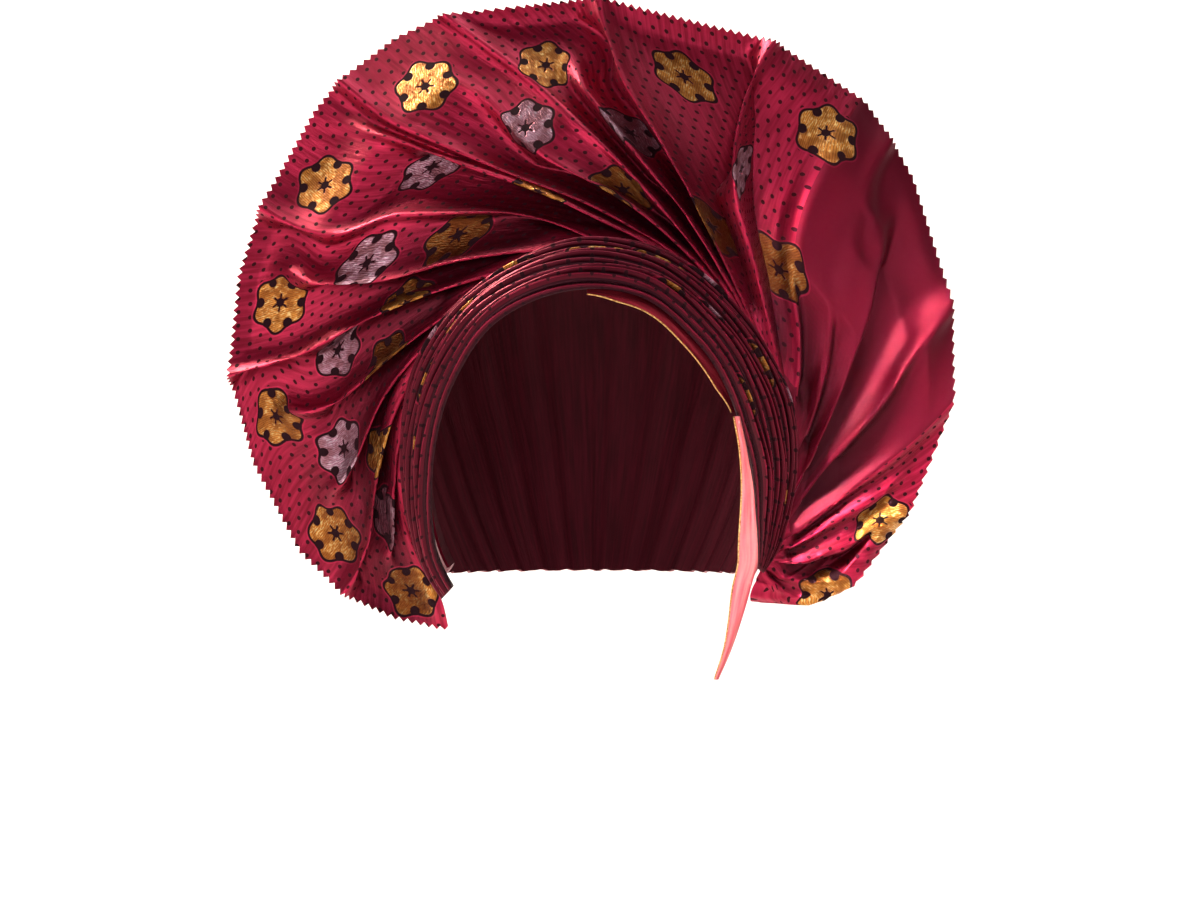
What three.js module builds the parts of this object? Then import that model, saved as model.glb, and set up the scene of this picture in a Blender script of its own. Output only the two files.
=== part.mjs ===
// Pre-tied head tie: a pleated band arched round the face, a fan of swirled folds behind it,
// a plain cap over the crown, the edge of an under-wrap inside the band and one hanging end.
// Millimetres. +X is the viewer's right, the face looks along -Y, +Z is up.
// The origin is the middle of the head opening, at brow height.
import * as THREE from 'three';

// Driving dimensions
const CLEARANCE = 0.5;         // between pieces that lie on one another
const OPENING = {
  radius: 59,                  // face opening, seen from the front
  forward: 50,                 // how far its plane stands before the origin
  leanDeg: 31,                 // its plane leans back towards the chin
};
const BAND = {
  width: 30,                   // across the pleats, along the cloth
  pleats: 11,
  pleatHeight: 1.7,
  crown: 4.2,                  // rise of the wound cloth over its middle plane
  lining: 2.8,                 // depth of the wound cloth under its middle plane
  edge: 0.8,                   // half thickness where the cloth turns under
  stations: 40,
};
const FAN = {
  reach: 102,                  // from the band's edge to the pinked rim, over the top of the head
  wall: 2.4,                   // folded cloth, measured front to back
  foldDepth: 12,
  foldReach: 42,               // distance from the band at which the folds are at their deepest
  rimFold: 0.5,                // share of the fold depth left at the rim
  flare: 0.5,                  // how far it runs back for each millimetre outwards
  cup: 4,                      // bow of its middle towards the front
  rings: 9,
};
const CAP = {
  halfWidth: 77,
  halfDepth: 95,
  height: 106,                 // crown above the origin
  taper: 145,                  // its lower half is part of an ellipsoid this deep
  hemDrop: 56,                 // hem below the origin
  wall: 2,
  tuck: 0.45,                  // share of the band's width that the cap reaches under
  columns: 18,
  rings: 9,
};
const UNDER_WRAP = { wall: 1.4, showing: 2.2, tucked: 8, columns: 14 };
const TAIL = { length: 104, width: 7.6, wall: 2.2, crease: 1.2 };

// Band sections by polar angle about the origin. Radii are shares of the opening's radius,
// width is a share of the band's width.
const BAND_SECTIONS = [
  { deg: -37.5, inner: 1.455, outer: 1.500, width: 0.20 },
  { deg: -30, inner: 1.330, outer: 1.492, width: 0.47 },
  { deg: -24, inner: 1.245, outer: 1.462, width: 0.67 },
  { deg: -10, inner: 1.120, outer: 1.415, width: 0.95 },
  { deg: 8, inner: 1.010, outer: 1.400, width: 1 },
  { deg: 26, inner: 0.975, outer: 1.340, width: 1 },
  { deg: 45, inner: 0.965, outer: 1.313, width: 1 },
  { deg: 71, inner: 1.005, outer: 1.327, width: 1 },
  { deg: 90, inner: 1.000, outer: 1.333, width: 1 },
  { deg: 110, inner: 0.995, outer: 1.280, width: 1 },
  { deg: 130, inner: 1.000, outer: 1.253, width: 1 },
  { deg: 150, inner: 0.987, outer: 1.253, width: 1 },
  { deg: 170, inner: 1.013, outer: 1.240, width: 1 },
  { deg: 190, inner: 1.087, outer: 1.267, width: 0.97 },
  { deg: 205, inner: 1.200, outer: 1.333, width: 0.93 },
  { deg: 218, inner: 1.333, outer: 1.400, width: 0.87 },
  { deg: 227, inner: 1.400, outer: 1.447, width: 0.80 },
];

// Rim of the fan by polar angle about the origin. reach: distance beyond the band's edge, as a
// share of the fan's reach. flare: share of the fan's flare.
const RIM = [
  { deg: -45, reach: 0.05, flare: 1.2 },
  { deg: -37, reach: 0.245, flare: 1.1 },
  { deg: -29, reach: 0.355, flare: 1 },
  { deg: -21, reach: 0.455, flare: 0.95 },
  { deg: -6, reach: 0.54, flare: 0.9 },
  { deg: 6, reach: 0.66, flare: 0.9 },
  { deg: 23, reach: 0.79, flare: 0.9 },
  { deg: 44, reach: 0.945, flare: 0.95 },
  { deg: 54, reach: 1.005, flare: 1 },
  { deg: 68, reach: 0.995, flare: 1 },
  { deg: 92, reach: 1, flare: 1 },
  { deg: 102, reach: 1, flare: 1 },
  { deg: 110, reach: 1.07, flare: 1 },
  { deg: 121, reach: 1.055, flare: 0.95 },
  { deg: 136, reach: 0.955, flare: 0.85 },
  { deg: 153, reach: 0.845, flare: 0.75 },
  { deg: 170, reach: 0.76, flare: 0.65 },
  { deg: 180, reach: 0.67, flare: 0.6 },
  { deg: 197, reach: 0.54, flare: 0.55 },
  { deg: 212, reach: 0.39, flare: 0.5 },
  { deg: 222, reach: 0.255, flare: 0.5 },
  { deg: 233, reach: 0.12, flare: 0.6 },
];

// One row a fold, by polar angles about the origin. rim: its crest at the rim. root: its crest at
// the band. turn: angle between the crest and the radius at the rim. depth: share of the fold
// depth of the valley after it. valley: place of that valley on the way to the next crest.
const FOLDS = [
  { rim: -45, root: -37.4, turn: 9, depth: 0.2, valley: 0.5 },
  { rim: -37, root: -37.1, turn: 19, depth: 0.4, valley: 0.5 },
  { rim: -29, root: -36.8, turn: 23, depth: 0.8, valley: 0.35 },
  { rim: -15, root: -36.0, turn: 36, depth: 0.5, valley: 0.5 },
  { rim: -4, root: -34.6, turn: 36, depth: 0.6, valley: 0.6 },
  { rim: 6, root: -32.5, turn: 38, depth: 0.9, valley: 0.3 },
  { rim: 20.5, root: -28, turn: 39, depth: 0.7, valley: 0.4 },
  { rim: 35, root: -21, turn: 36, depth: 0.5, valley: 0.5 },
  { rim: 43, root: -14, turn: 27, depth: 0.7, valley: 0.5 },
  { rim: 55, root: -3, turn: 17, depth: 0.6, valley: 0.5 },
  { rim: 65, root: 16, turn: -15, depth: 0.8, valley: 0.35 },
  { rim: 78, root: 28, turn: -2, depth: 0.5, valley: 0.4 },
  { rim: 89, root: 34, turn: 6, depth: 0.8, valley: 0.4 },
  { rim: 99, root: 37.5, turn: 24, depth: 0.5, valley: 0.5 },
  { rim: 109, root: 41, turn: 40, depth: 1, valley: 0.35 },
  { rim: 116, root: 47, turn: 31, depth: 0.9, valley: 0.4 },
  { rim: 125, root: 55, turn: 29, depth: 0.5, valley: 0.5 },
  { rim: 130, root: 62, turn: 30, depth: 1, valley: 0.4 },
  { rim: 138, root: 77, turn: 17, depth: 0.6, valley: 0.5 },
  { rim: 145, root: 91, turn: 6, depth: 1, valley: 0.35 },
  { rim: 152, root: 103, turn: 7, depth: 0.9, valley: 0.4 },
  { rim: 161, root: 111, turn: 18, depth: 0.6, valley: 0.5 },
  { rim: 170, root: 118, turn: 26, depth: 1, valley: 0.35 },
  { rim: 176, root: 127, turn: 19, depth: 0.9, valley: 0.4 },
  { rim: 183, root: 135, turn: 23, depth: 0.6, valley: 0.5 },
  { rim: 190, root: 142, turn: 27, depth: 1, valley: 0.35 },
  { rim: 201, root: 149, turn: 22, depth: 0.6, valley: 0.5 },
  { rim: 212, root: 157, turn: 23, depth: 1, valley: 0.35 },
  { rim: 222, root: 166, turn: 40, depth: 0.8, valley: 0.4 },
  { rim: 229, root: 176, turn: 52, depth: 0.8, valley: 0.4 },
  { rim: 233, root: 196, turn: 58, depth: 0, valley: 0.5 },
];
const GENERATOR = {
  rootTiltDeg: 12,             // a fold leaves the band's edge at this angle
  rootHandle: 0.36,            // handles of its curve, as shares of its chord
  rimHandle: 0.34,
};

// Hanging end, one row a section. drop: share of its length. shift: sideways from its top, and
// width: both shares of the end's full width.
const TAIL_SECTIONS = [
  { drop: 0, shift: 0, width: 0.30 },
  { drop: 0.14, shift: 0.36, width: 0.38 },
  { drop: 0.31, shift: 0.58, width: 0.66 },
  { drop: 0.54, shift: 0.60, width: 1 },
  { drop: 0.65, shift: 0.26, width: 0.94 },
  { drop: 0.78, shift: -0.10, width: 0.64 },
  { drop: 0.88, shift: -0.45, width: 0.40 },
  { drop: 1, shift: -1.05, width: 0.20 },
];

const radians = THREE.MathUtils.degToRad;
const mix = THREE.MathUtils.lerp;
const clamp = THREE.MathUtils.clamp;

// Smooth curve through one column of a table, without overshoot between its rows.
function column(rows, key, name) {
  const x = rows.map((row) => row[key]);
  const y = rows.map((row) => row[name]);
  const secant = x.slice(1).map((end, i) => (y[i + 1] - y[i]) / (end - x[i]));
  const slope = y.map((_, i) => {
    const before = secant[i - 1] ?? secant[i];
    const after = secant[i] ?? before;
    return before * after <= 0 ? 0 : 2 * before * after / (before + after);
  });
  return (at) => {
    const place = clamp(at, x[0], x[x.length - 1]);
    const i = clamp(x.findIndex((end) => end >= place) - 1, 0, x.length - 2);
    const span = x[i + 1] - x[i];
    const s = (place - x[i]) / span;
    return y[i] * (1 + 2 * s) * (1 - s) ** 2 + y[i + 1] * s * s * (3 - 2 * s)
      + span * (slope[i] * s * (1 - s) ** 2 - slope[i + 1] * s * s * (1 - s));
  };
}

const bandInner = column(BAND_SECTIONS, 'deg', 'inner');
const bandOuter = column(BAND_SECTIONS, 'deg', 'outer');
const bandWidth = column(BAND_SECTIONS, 'deg', 'width');
const rimReach = column(RIM, 'deg', 'reach');
const rimFlare = column(RIM, 'deg', 'flare');

// The band's section at a polar angle: its inner point, the direction across its width and the
// direction off its face.
function bandSection(deg) {
  const radial = new THREE.Vector3(Math.cos(radians(deg)), 0, Math.sin(radians(deg)));
  const inner = OPENING.radius * bandInner(deg);
  const step = OPENING.radius * bandOuter(deg) - inner;
  const width = Math.max(BAND.width * bandWidth(deg), step * 1.02);
  const back = Math.sqrt(width ** 2 - step ** 2);
  const start = radial.clone().multiplyScalar(inner);
  start.y = -OPENING.forward - Math.tan(radians(OPENING.leanDeg)) * start.z;
  const across = radial.clone().multiplyScalar(step / width);
  across.y = back / width;
  const off = radial.clone().multiplyScalar(back / width);
  off.y = -step / width;
  return { start, across, off, width };
}

function bandPoint(deg, along, height) {
  const { start, across, off } = bandSection(deg);
  return start.clone().addScaledVector(across, along).addScaledVector(off, height);
}

// Closed solid between a front and a back grid of points, both [column][row]. The front is the
// side that rows turned towards columns face.
function sheetSolid(front, back) {
  const columns = front.length;
  const rows = front[0].length;
  const points = [...front.flat(), ...back.flat()];
  const at = (side, i, j) => side * columns * rows + i * rows + j;
  const index = [];
  const quad = (a, b, c, d) => {
    const ac = points[a].distanceToSquared(points[c]);
    const bd = points[b].distanceToSquared(points[d]);
    index.push(...(ac <= bd ? [a, c, b, a, d, c] : [a, d, b, b, d, c]));
  };
  for (let i = 0; i < columns - 1; i += 1) {
    for (let j = 0; j < rows - 1; j += 1) {
      quad(at(0, i, j), at(0, i + 1, j), at(0, i + 1, j + 1), at(0, i, j + 1));
      quad(at(1, i, j), at(1, i, j + 1), at(1, i + 1, j + 1), at(1, i + 1, j));
    }
    quad(at(0, i, 0), at(1, i, 0), at(1, i + 1, 0), at(0, i + 1, 0));
    quad(at(0, i, rows - 1), at(0, i + 1, rows - 1), at(1, i + 1, rows - 1), at(1, i, rows - 1));
  }
  for (let j = 0; j < rows - 1; j += 1) {
    quad(at(0, 0, j), at(0, 0, j + 1), at(1, 0, j + 1), at(1, 0, j));
    quad(at(0, columns - 1, j), at(1, columns - 1, j), at(1, columns - 1, j + 1), at(0, columns - 1, j + 1));
  }
  const geometry = new THREE.BufferGeometry().setFromPoints(points);
  geometry.setIndex(index);
  geometry.computeVertexNormals();
  return geometry;
}

const grid = (columns, rows, point) => Array.from({ length: columns }, (_, i) =>
  Array.from({ length: rows }, (__, j) => point(i / (columns - 1), j / (rows - 1), i, j)));

// Half thickness of a wound section, rounded down to its edges.
const swell = (share, full) =>
  BAND.edge + (full - BAND.edge) * Math.sin(Math.PI * clamp(share, 0, 1)) ** 0.5;

function bandGeometry() {
  const first = BAND_SECTIONS[0].deg;
  const last = BAND_SECTIONS[BAND_SECTIONS.length - 1].deg;
  const across = 2 * BAND.pleats + 1;
  const face = (side) => grid(BAND.stations, across, (t, s, i, j) => {
    const deg = mix(first, last, t);
    const section = bandSection(deg);
    const full = section.width / BAND.width;
    const pleat = j % 2 ? BAND.pleatHeight : 0;
    const height = side > 0
      ? Math.max(swell(s, BAND.crown) * full + pleat * full, BAND.edge)
      : -Math.max(swell(s, BAND.lining) * full, BAND.edge);
    return bandPoint(deg, s * section.width, height);
  });
  return sheetSolid(face(1), face(-1));
}

const direction = (deg) => new THREE.Vector2(Math.cos(radians(deg)), Math.sin(radians(deg)));
const edgeRadius = (deg) => OPENING.radius * bandOuter(deg);
const rootPoint = (deg) => direction(deg).multiplyScalar(edgeRadius(deg) + BAND.edge + CLEARANCE);
const rimPoint = (deg) => direction(deg).multiplyScalar(edgeRadius(deg) + FAN.reach * rimReach(deg));

// The run of the cloth from band to rim, seen from the front: along the band's edge at first,
// out to the rim at the end.
function generator(rimDeg, rootDeg, turn) {
  const root = rootPoint(rootDeg);
  const rim = rimPoint(rimDeg);
  const chord = root.distanceTo(rim);
  const step = 1;
  const edge = rootPoint(rootDeg + step).sub(rootPoint(rootDeg - step)).normalize();
  const leave = edge.rotateAround(new THREE.Vector2(), -radians(GENERATOR.rootTiltDeg));
  const arrive = direction(rimDeg + turn);
  return new THREE.CubicBezierCurve(
    root,
    root.clone().addScaledVector(leave, chord * GENERATOR.rootHandle),
    rim.clone().addScaledVector(arrive, -chord * GENERATOR.rimHandle),
    rim,
  );
}

const foldRoot = column(FOLDS, 'rim', 'root');
const foldTurn = column(FOLDS, 'rim', 'turn');

// Columns of the fan: each crest, its valley and a place halfway up either side.
function fanColumns() {
  const columns = [];
  FOLDS.slice(0, -1).forEach((fold, i) => {
    const next = FOLDS[i + 1].rim;
    const valley = mix(fold.rim, next, fold.valley);
    columns.push({ deg: fold.rim, sink: 0 });
    columns.push({ deg: mix(fold.rim, valley, 0.5), sink: 0.62 * fold.depth });
    columns.push({ deg: valley, sink: fold.depth });
    columns.push({ deg: mix(valley, next, 0.5), sink: 0.45 * fold.depth });
  });
  columns.push({ deg: FOLDS[FOLDS.length - 1].rim, sink: 0 });
  return columns;
}

// Share of the fold depth at a distance from the band's edge, and from band (0) to rim (1).
const foldShare = (distance, v) => THREE.MathUtils.smoothstep(distance, -4, FAN.foldReach)
  * (v < 0.5 ? 1 : mix(FAN.rimFold, 1, Math.sin(Math.PI * v)));

function fanGeometry() {
  const columns = fanColumns();
  const face = (setBack) => grid(columns.length, FAN.rings + 1, (t, v, i) => {
    const { deg, sink } = columns[i];
    const flat = generator(deg, foldRoot(deg), foldTurn(deg)).getPoint(v);
    let around = THREE.MathUtils.radToDeg(Math.atan2(flat.y, flat.x));
    if (around < -90) around += 360;
    const section = bandSection(around);
    const distance = flat.length() - edgeRadius(around);
    const y = section.start.y + section.across.y * section.width
      + FAN.flare * rimFlare(around) * distance
      - FAN.cup * Math.sin(Math.PI * clamp(distance / (FAN.reach * rimReach(around)), 0, 1))
      + FAN.foldDepth * sink * foldShare(distance, v);
    return new THREE.Vector3(flat.x, y + setBack, flat.y);
  });
  return sheetSolid(face(0), face(FAN.wall));
}

// The cap starts under the band, follows its inner face to its far edge and then runs over the
// crown, on an ellipsoid, down to the hem.
function capGeometry() {
  const first = -27;
  const last = 222;
  const hem = CAP.hemDrop / CAP.taper;
  const size = (z) => new THREE.Vector3(CAP.halfWidth, CAP.halfDepth, z > 0 ? CAP.height : CAP.taper);
  const depth = BAND.lining + CLEARANCE + CAP.wall / 2;
  const crown = (t, s) => {
    const deg = mix(first, last, t);
    const section = bandSection(deg);
    const edge = bandPoint(deg, section.width, -depth);
    const front = edge.divide(size(edge.z));
    const plan = radians(mix(22, 158, t));
    const low = new THREE.Vector3(Math.cos(plan), Math.sin(plan), 0).multiplyScalar(Math.sqrt(1 - hem * hem));
    low.z = -hem;
    const arch = radians(mix(-27, 207, t));
    const top = new THREE.Vector3(Math.cos(arch), 0.32, Math.sin(arch)).normalize();
    const way = front.clone().normalize().multiplyScalar((1 - s) ** 2)
      .addScaledVector(top, 2 * s * (1 - s) * 1.5).addScaledVector(low, s * s).normalize();
    return way.multiplyScalar(mix(1, front.length(), (1 - s) ** 2)).multiply(size(way.z));
  };
  const middle = grid(CAP.columns, CAP.rings + 1, (t, r, i, j) => {
    const deg = mix(first, last, t);
    if (j === 0) return bandPoint(deg, bandSection(deg).width * (1 - CAP.tuck), -depth);
    return crown(t, (j - 1) / (CAP.rings - 1));
  });
  const face = (side) => middle.map((line, i) => line.map((point, j) => {
    const along = middle[Math.min(i + 1, middle.length - 1)][j].clone().sub(middle[Math.max(i - 1, 0)][j]);
    const down = line[Math.min(j + 1, line.length - 1)].clone().sub(line[Math.max(j - 1, 0)]);
    const normal = down.cross(along).normalize();
    return point.clone().addScaledVector(normal, side * CAP.wall / 2);
  }));
  return sheetSolid(face(1), face(-1));
}

function underWrapGeometry() {
  const level = BAND.lining + CLEARANCE + UNDER_WRAP.wall / 2;
  const face = (side) => grid(UNDER_WRAP.columns, 3, (t, s) => bandPoint(
    mix(12, 90, t),
    mix(-UNDER_WRAP.showing, UNDER_WRAP.tucked, s),
    -level + side * UNDER_WRAP.wall / 2,
  ));
  return sheetSolid(face(1), face(-1));
}

function tailGeometry() {
  const shift = column(TAIL_SECTIONS, 'drop', 'shift');
  const width = column(TAIL_SECTIONS, 'drop', 'width');
  const hung = bandPoint(9, -CLEARANCE - TAIL.width * 0.2, BAND.crown / 3);
  const face = (side) => grid(13, 3, (drop, s) => new THREE.Vector3(
    hung.x + TAIL.width * (shift(drop) + (0.5 - s) * width(drop)),
    hung.y + (s === 0.5 ? -1 : 1) * TAIL.crease / 2 * width(drop) - side * TAIL.wall / 2,
    hung.z - TAIL.length * drop,
  ));
  return sheetSolid(face(1), face(-1));
}

function piece(name, geometry, colour, roughness, metalness) {
  const material = new THREE.MeshStandardMaterial({ color: colour, roughness, metalness });
  material.name = name;
  const mesh = new THREE.Mesh(geometry, material);
  mesh.name = name;
  return mesh;
}

const group = new THREE.Group();
group.name = 'head_tie';
group.add(
  piece('front_band', bandGeometry(), 0xa52338, 0.4, 0.3),
  piece('fan', fanGeometry(), 0x9a2036, 0.42, 0.3),
  piece('crown_cap', capGeometry(), 0x8a1c30, 0.55, 0.15),
  piece('under_wrap', underWrapGeometry(), 0xb0303f, 0.45, 0.25),
  piece('side_tail', tailGeometry(), 0xb5364a, 0.42, 0.3),
);

export default group;
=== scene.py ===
"""Looks of the pre-tied head tie: a swirled brocade fan with a pinked rim, a pleated band round the face, a
plain cap, an under-wrap edge and a hanging end. Everything is in metres, in the solid model's frame."""

import math

import bmesh
import bpy
import numpy as np
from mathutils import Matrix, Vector


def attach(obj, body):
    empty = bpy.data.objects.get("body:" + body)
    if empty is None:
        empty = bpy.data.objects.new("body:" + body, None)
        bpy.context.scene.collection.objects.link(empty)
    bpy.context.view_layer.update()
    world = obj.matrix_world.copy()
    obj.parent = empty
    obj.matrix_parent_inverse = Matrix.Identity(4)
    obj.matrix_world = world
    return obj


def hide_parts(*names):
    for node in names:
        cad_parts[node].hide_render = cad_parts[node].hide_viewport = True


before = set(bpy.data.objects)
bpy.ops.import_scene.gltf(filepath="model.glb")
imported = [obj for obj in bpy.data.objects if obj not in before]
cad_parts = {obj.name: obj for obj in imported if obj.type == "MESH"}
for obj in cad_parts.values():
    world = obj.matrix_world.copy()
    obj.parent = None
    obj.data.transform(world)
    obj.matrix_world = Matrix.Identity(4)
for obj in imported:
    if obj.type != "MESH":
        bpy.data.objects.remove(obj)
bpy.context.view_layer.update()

MM = 0.001

# Sizes shared with the solid model
OPENING_RADIUS = 59 * MM       # face opening, seen from the front
OPENING_FORWARD = 50 * MM      # how far its plane stands before the origin
OPENING_LEAN = 31              # degrees that its plane leans back towards the chin
BAND_WIDTH = 30 * MM
BAND_CROWN = 4.2 * MM
BAND_LINING = 2.8 * MM
BAND_EDGE = 0.8 * MM
PLEATS = 11
FAN_REACH = 102 * MM           # from the band's edge to the rim, over the top of the head
FAN_FLARE = 0.5
FAN_CUP = 4 * MM               # forward bulge of the fan, which dies out towards the rim
CAP_HALF_WIDTH, CAP_HALF_DEPTH, CAP_HEIGHT, CAP_TAPER = 77 * MM, 95 * MM, 106 * MM, 145 * MM
CAP_HEM_DROP = 56 * MM

# Sizes of the cloth itself
FAN_CLOTH = 0.5 * MM
PLEAT_CLOTH = 5.8 * MM         # cloth in one pleat of the band
PLEAT_HEIGHT, PLEAT_SINK = 3.2 * MM, 1.2 * MM
PLEAT_RIDGE = 0.3              # share of a pleat at which its ridge lies
TOOTH_PITCH = 3.5 * MM
TOOTH_HEIGHT = 1.9 * MM
FAN_ROWS = 64
ROOT_TUCK = 1.2 * MM           # how far inside the band's edge the crests start
ROOT_BACK, ROOT_BACK_REACH = 2 * MM, 8 * MM    # how far behind it they start, and where that ends
CREST_GAP = 0.05 * MM          # least distance between two crests
ROOT_DEPTH, FOLD_DEPTH = 8 * MM, 14 * MM       # deepest fold beside the band and farther out
DEPTH_REACH = 42 * MM
CAP_CLEARANCE = 1.6 * MM       # depth left beside the band, where the cap lies right behind the fan
DEPTH_SLOPE = 1.2              # depth gained over the distance from the band
ROOT_OVERLAP, FOLD_OVERLAP = 8 * MM, 15 * MM   # how far a fold runs back under the one before
OVERLAP_REACH = 50 * MM
PAINTED_SHADE_REACH, PAINTED_SHADE_DEPTH = 62 * MM, 6 * MM       # painted shade near the band: how far out it reaches, and the fold depth where it is darkest
CAP_START, CAP_EDGE = 0.55, 0.84               # places across the band where the cap starts and leaves it
CAP_TUCK = 3.5 * MM            # how far it drops behind the fan's root there
CAP_GATHERS, GATHER_DEPTH = 17, 0.9 * MM
FLORET_RADIUS = 12.2 * MM
DOT_PITCH = 5.7 * MM
PATTERN_UNIT = 0.1             # metres of cloth to one unit of its maps


def table(names, *rows):
    """Rows of numbers as named columns."""
    return dict(zip(names.split(), np.array(rows, float).T))


BAND = table(
    "deg inner outer width",
    (-37.5, 1.455, 1.500, 0.20),
    (-30, 1.330, 1.492, 0.47),
    (-24, 1.245, 1.462, 0.67),
    (-10, 1.120, 1.415, 0.95),
    (8, 1.010, 1.400, 1),
    (26, 0.975, 1.340, 1),
    (45, 0.965, 1.313, 1),
    (71, 1.005, 1.327, 1),
    (90, 1.000, 1.333, 1),
    (110, 0.995, 1.280, 1),
    (130, 1.000, 1.253, 1),
    (150, 0.987, 1.253, 1),
    (170, 1.013, 1.240, 1),
    (190, 1.087, 1.267, 0.97),
    (205, 1.200, 1.333, 0.93),
    (218, 1.333, 1.400, 0.87),
    (227, 1.400, 1.447, 0.80),
)
RIM = table(
    "deg reach flare",
    (-45, 0.05, 1.2),
    (-37, 0.245, 1.1),
    (-29, 0.355, 1),
    (-21, 0.455, 0.95),
    (-6, 0.54, 0.9),
    (6, 0.66, 0.9),
    (23, 0.79, 0.9),
    (44, 0.945, 0.95),
    (54, 1.005, 1),
    (68, 0.995, 1),
    (92, 1, 1),
    (102, 1, 1),
    (110, 1.07, 1),
    (121, 1.055, 0.95),
    (136, 0.955, 0.85),
    (153, 0.845, 0.75),
    (170, 0.76, 0.65),
    (180, 0.67, 0.6),
    (197, 0.54, 0.55),
    (212, 0.39, 0.5),
    (222, 0.255, 0.5),
    (233, 0.12, 0.6),
)
# One row a fold, in order round the fan. rim and root: polar angles of the crest's two ends; turn:
# degrees that its rim end leans from straight outward; low, mid, high: how far the crest bows sideways at the
# three middle places of BOW_PLACES, in millimetres; full: cloth over the width it spans at the rim;
# valley: how far from the crest its valley lies, and lip: how soon the broad face curls up to a crest, both
# in millimetres; start: share of the run at which the crest dies out, over 1 where it reaches the rim; side:
# 1 where the steep face follows the crest, -1 where it comes before the next one.
BOW_PLACES = (0, 0.3, 0.55, 0.8, 1)
FOLDS = table(
    "rim root turn low mid high full valley lip start side",
    (-45, -37.4, 9, 0, 0, 0, 1.03, 4, 15, 2, 1),
    (-37, -37.1, 19, -4, -4, -1, 1.06, 4, 12, 2, 1),
    (-29, -36.8, 23, -8, -6, -2, 1.12, 5, 8, 2, -1),
    (-13, -36.5, 40, -9, -7, 0, 1.05, 5, 15, 2, -1),
    (-4, -35.5, 36, -3, -3, -1, 1.05, 5, 15, 0.85, -1),
    (6, -33.5, 38, -2, -2, -1.5, 1.08, 5, 9, 2, -1),
    (20.5, -28.5, 39, 0, -0.5, 2.5, 1.08, 4, 7, 2, -1),
    (39, -22, 34, -1, -1, 3, 1.04, 4, 8, 0.9, -1),
    (45, -15, 23, 0, 3.5, 3.5, 1.10, 4, 5, 2, -1),
    (51, -4, 0, 4, 10.4, 5, 1.05, 4, 6, 0.95, -1),
    (65, 15.5, -15, -0.5, 2.5, 0.5, 1.04, 7, 10, 2, 1),
    (89, 31, 6, -3, -4.5, -1.5, 1.08, 10, 6, 2, 1),
    (99, 34, 24, -1, 0, 0, 1.04, 4, 8, 0.85, 1),
    (109, 36, 40, 3.5, 4, 2.5, 1.10, 4.5, 4, 2, 1),
    (116, 42, 31, 4.5, 10.5, 1, 1.08, 4, 5, 0.88, 1),
    (125, 52, 29, 6, 9.5, 8.5, 1.06, 4, 8, 2, 1),
    (130, 59, 30, 5.5, 5.5, 1.5, 1.10, 4, 7, 0.92, 1),
    (145, 88, 6, -8.5, -8.5, 2.5, 1.10, 4.5, 6, 2, 1),
    (155, 100, 7, -2, 0.5, -1, 1.08, 4, 5, 0.88, 1),
    (170, 115, 26, -2, -1, 2, 1.10, 4, 6, 2, 1),
    (184, 132, 23, 0, 0.5, -7, 1.10, 4, 7, 0.84, 1),
    (201, 146, 22, -3, -1, -3, 1.12, 4, 7, 0.8, 1),
    (212, 156, 23, -2, -1.5, 1.5, 1.12, 4, 6, 2, 1),
    (222, 165, 40, 0, 0, 0, 1.06, 4, 8, 0.8, 1),
    (231, 174, 52, -3, -1, 1.5, 1.10, 4, 6, 2, 1),
    (233, 192, 58, -2, 0, 2, 1.05, 3, 10, 2, 1),
)
ROOT_TILT = 12                 # degrees between a fold and the band's edge where it leaves
ROOT_HANDLE, RIM_HANDLE = 0.36, 0.34

GOLD, SILVER = 1, 2
# Middle of each floret, seen from the front, in millimetres across and up from the origin, and lit, from 0 to
# 1, which scales the painted shade on its thread: the lower it is, the darker its thread is painted.
FLORETS = table(
    "x z metal lit",
    (-75.4, -63.8, GOLD, 1),
    (-106.9, -39.2, GOLD, 1),
    (-129.9, 8.0, GOLD, 0.8),
    (-127.0, 56.4, GOLD, 1),
    (-108.1, 105.7, GOLD, 1),
    (-66.5, 145.2, GOLD, 1),
    (-18.1, 152.5, GOLD, 1),
    (38.8, 148.4, GOLD, 1),
    (95.3, 127.0, GOLD, 1),
    (119.1, -31.5, GOLD, 1),
    (99, -66, GOLD, 1),
    (-82.7, -34.4, SILVER, 0.35),
    (-102.0, -4.1, SILVER, 1),
    (-103.2, 35.4, SILVER, 0.8),
    (-91.9, 71.8, SILVER, 1),
    (-64.5, 110.9, SILVER, 0.55),
    (-24.1, 127.0, SILVER, 0.4),
    (18.2, 124.2, SILVER, 0.45),
    (61.4, 108.1, SILVER, 1),
    (-82.7, -6.1, GOLD, 1),
    (-82.7, 30.2, GOLD, 0.4),
    (-74.6, 54.4, GOLD, 1),
    (-52.4, 83.9, GOLD, 0.4),
    (-20.1, 98.8, GOLD, 1),
    (14.2, 100.8, GOLD, 0.45),
    (49.3, 86.7, GOLD, 0.3),
    (74.7, 69.3, GOLD, 0.35),
)
# Slivers of florets on the band's pleats: angle of the middle, place across the band, length in millimetres.
SLIVERS = table(
    "deg across length metal",
    (87.8, 0.64, 18, GOLD),
    (67.9, 0.73, 17, GOLD),
    (53, 0.95, 12, SILVER),
    (114.4, 0.77, 13, GOLD),
    (159.8, 0.49, 14, GOLD),
    (61.4, 0.3, 8, GOLD),
    (45.7, 0.48, 9, SILVER),
    (23.5, 0.65, 15, GOLD),
    (12.7, 0.92, 12, SILVER),
    (15.3, 0.24, 15, GOLD),
    (-16.2, 0.67, 13, GOLD),
    (145.6, 0.95, 12, SILVER),
    (132.4, 0.6, 9, GOLD),
    (140.8, 0.5, 8, GOLD),
    (181, 0.3, 12, GOLD),
)


# Curves

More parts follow.
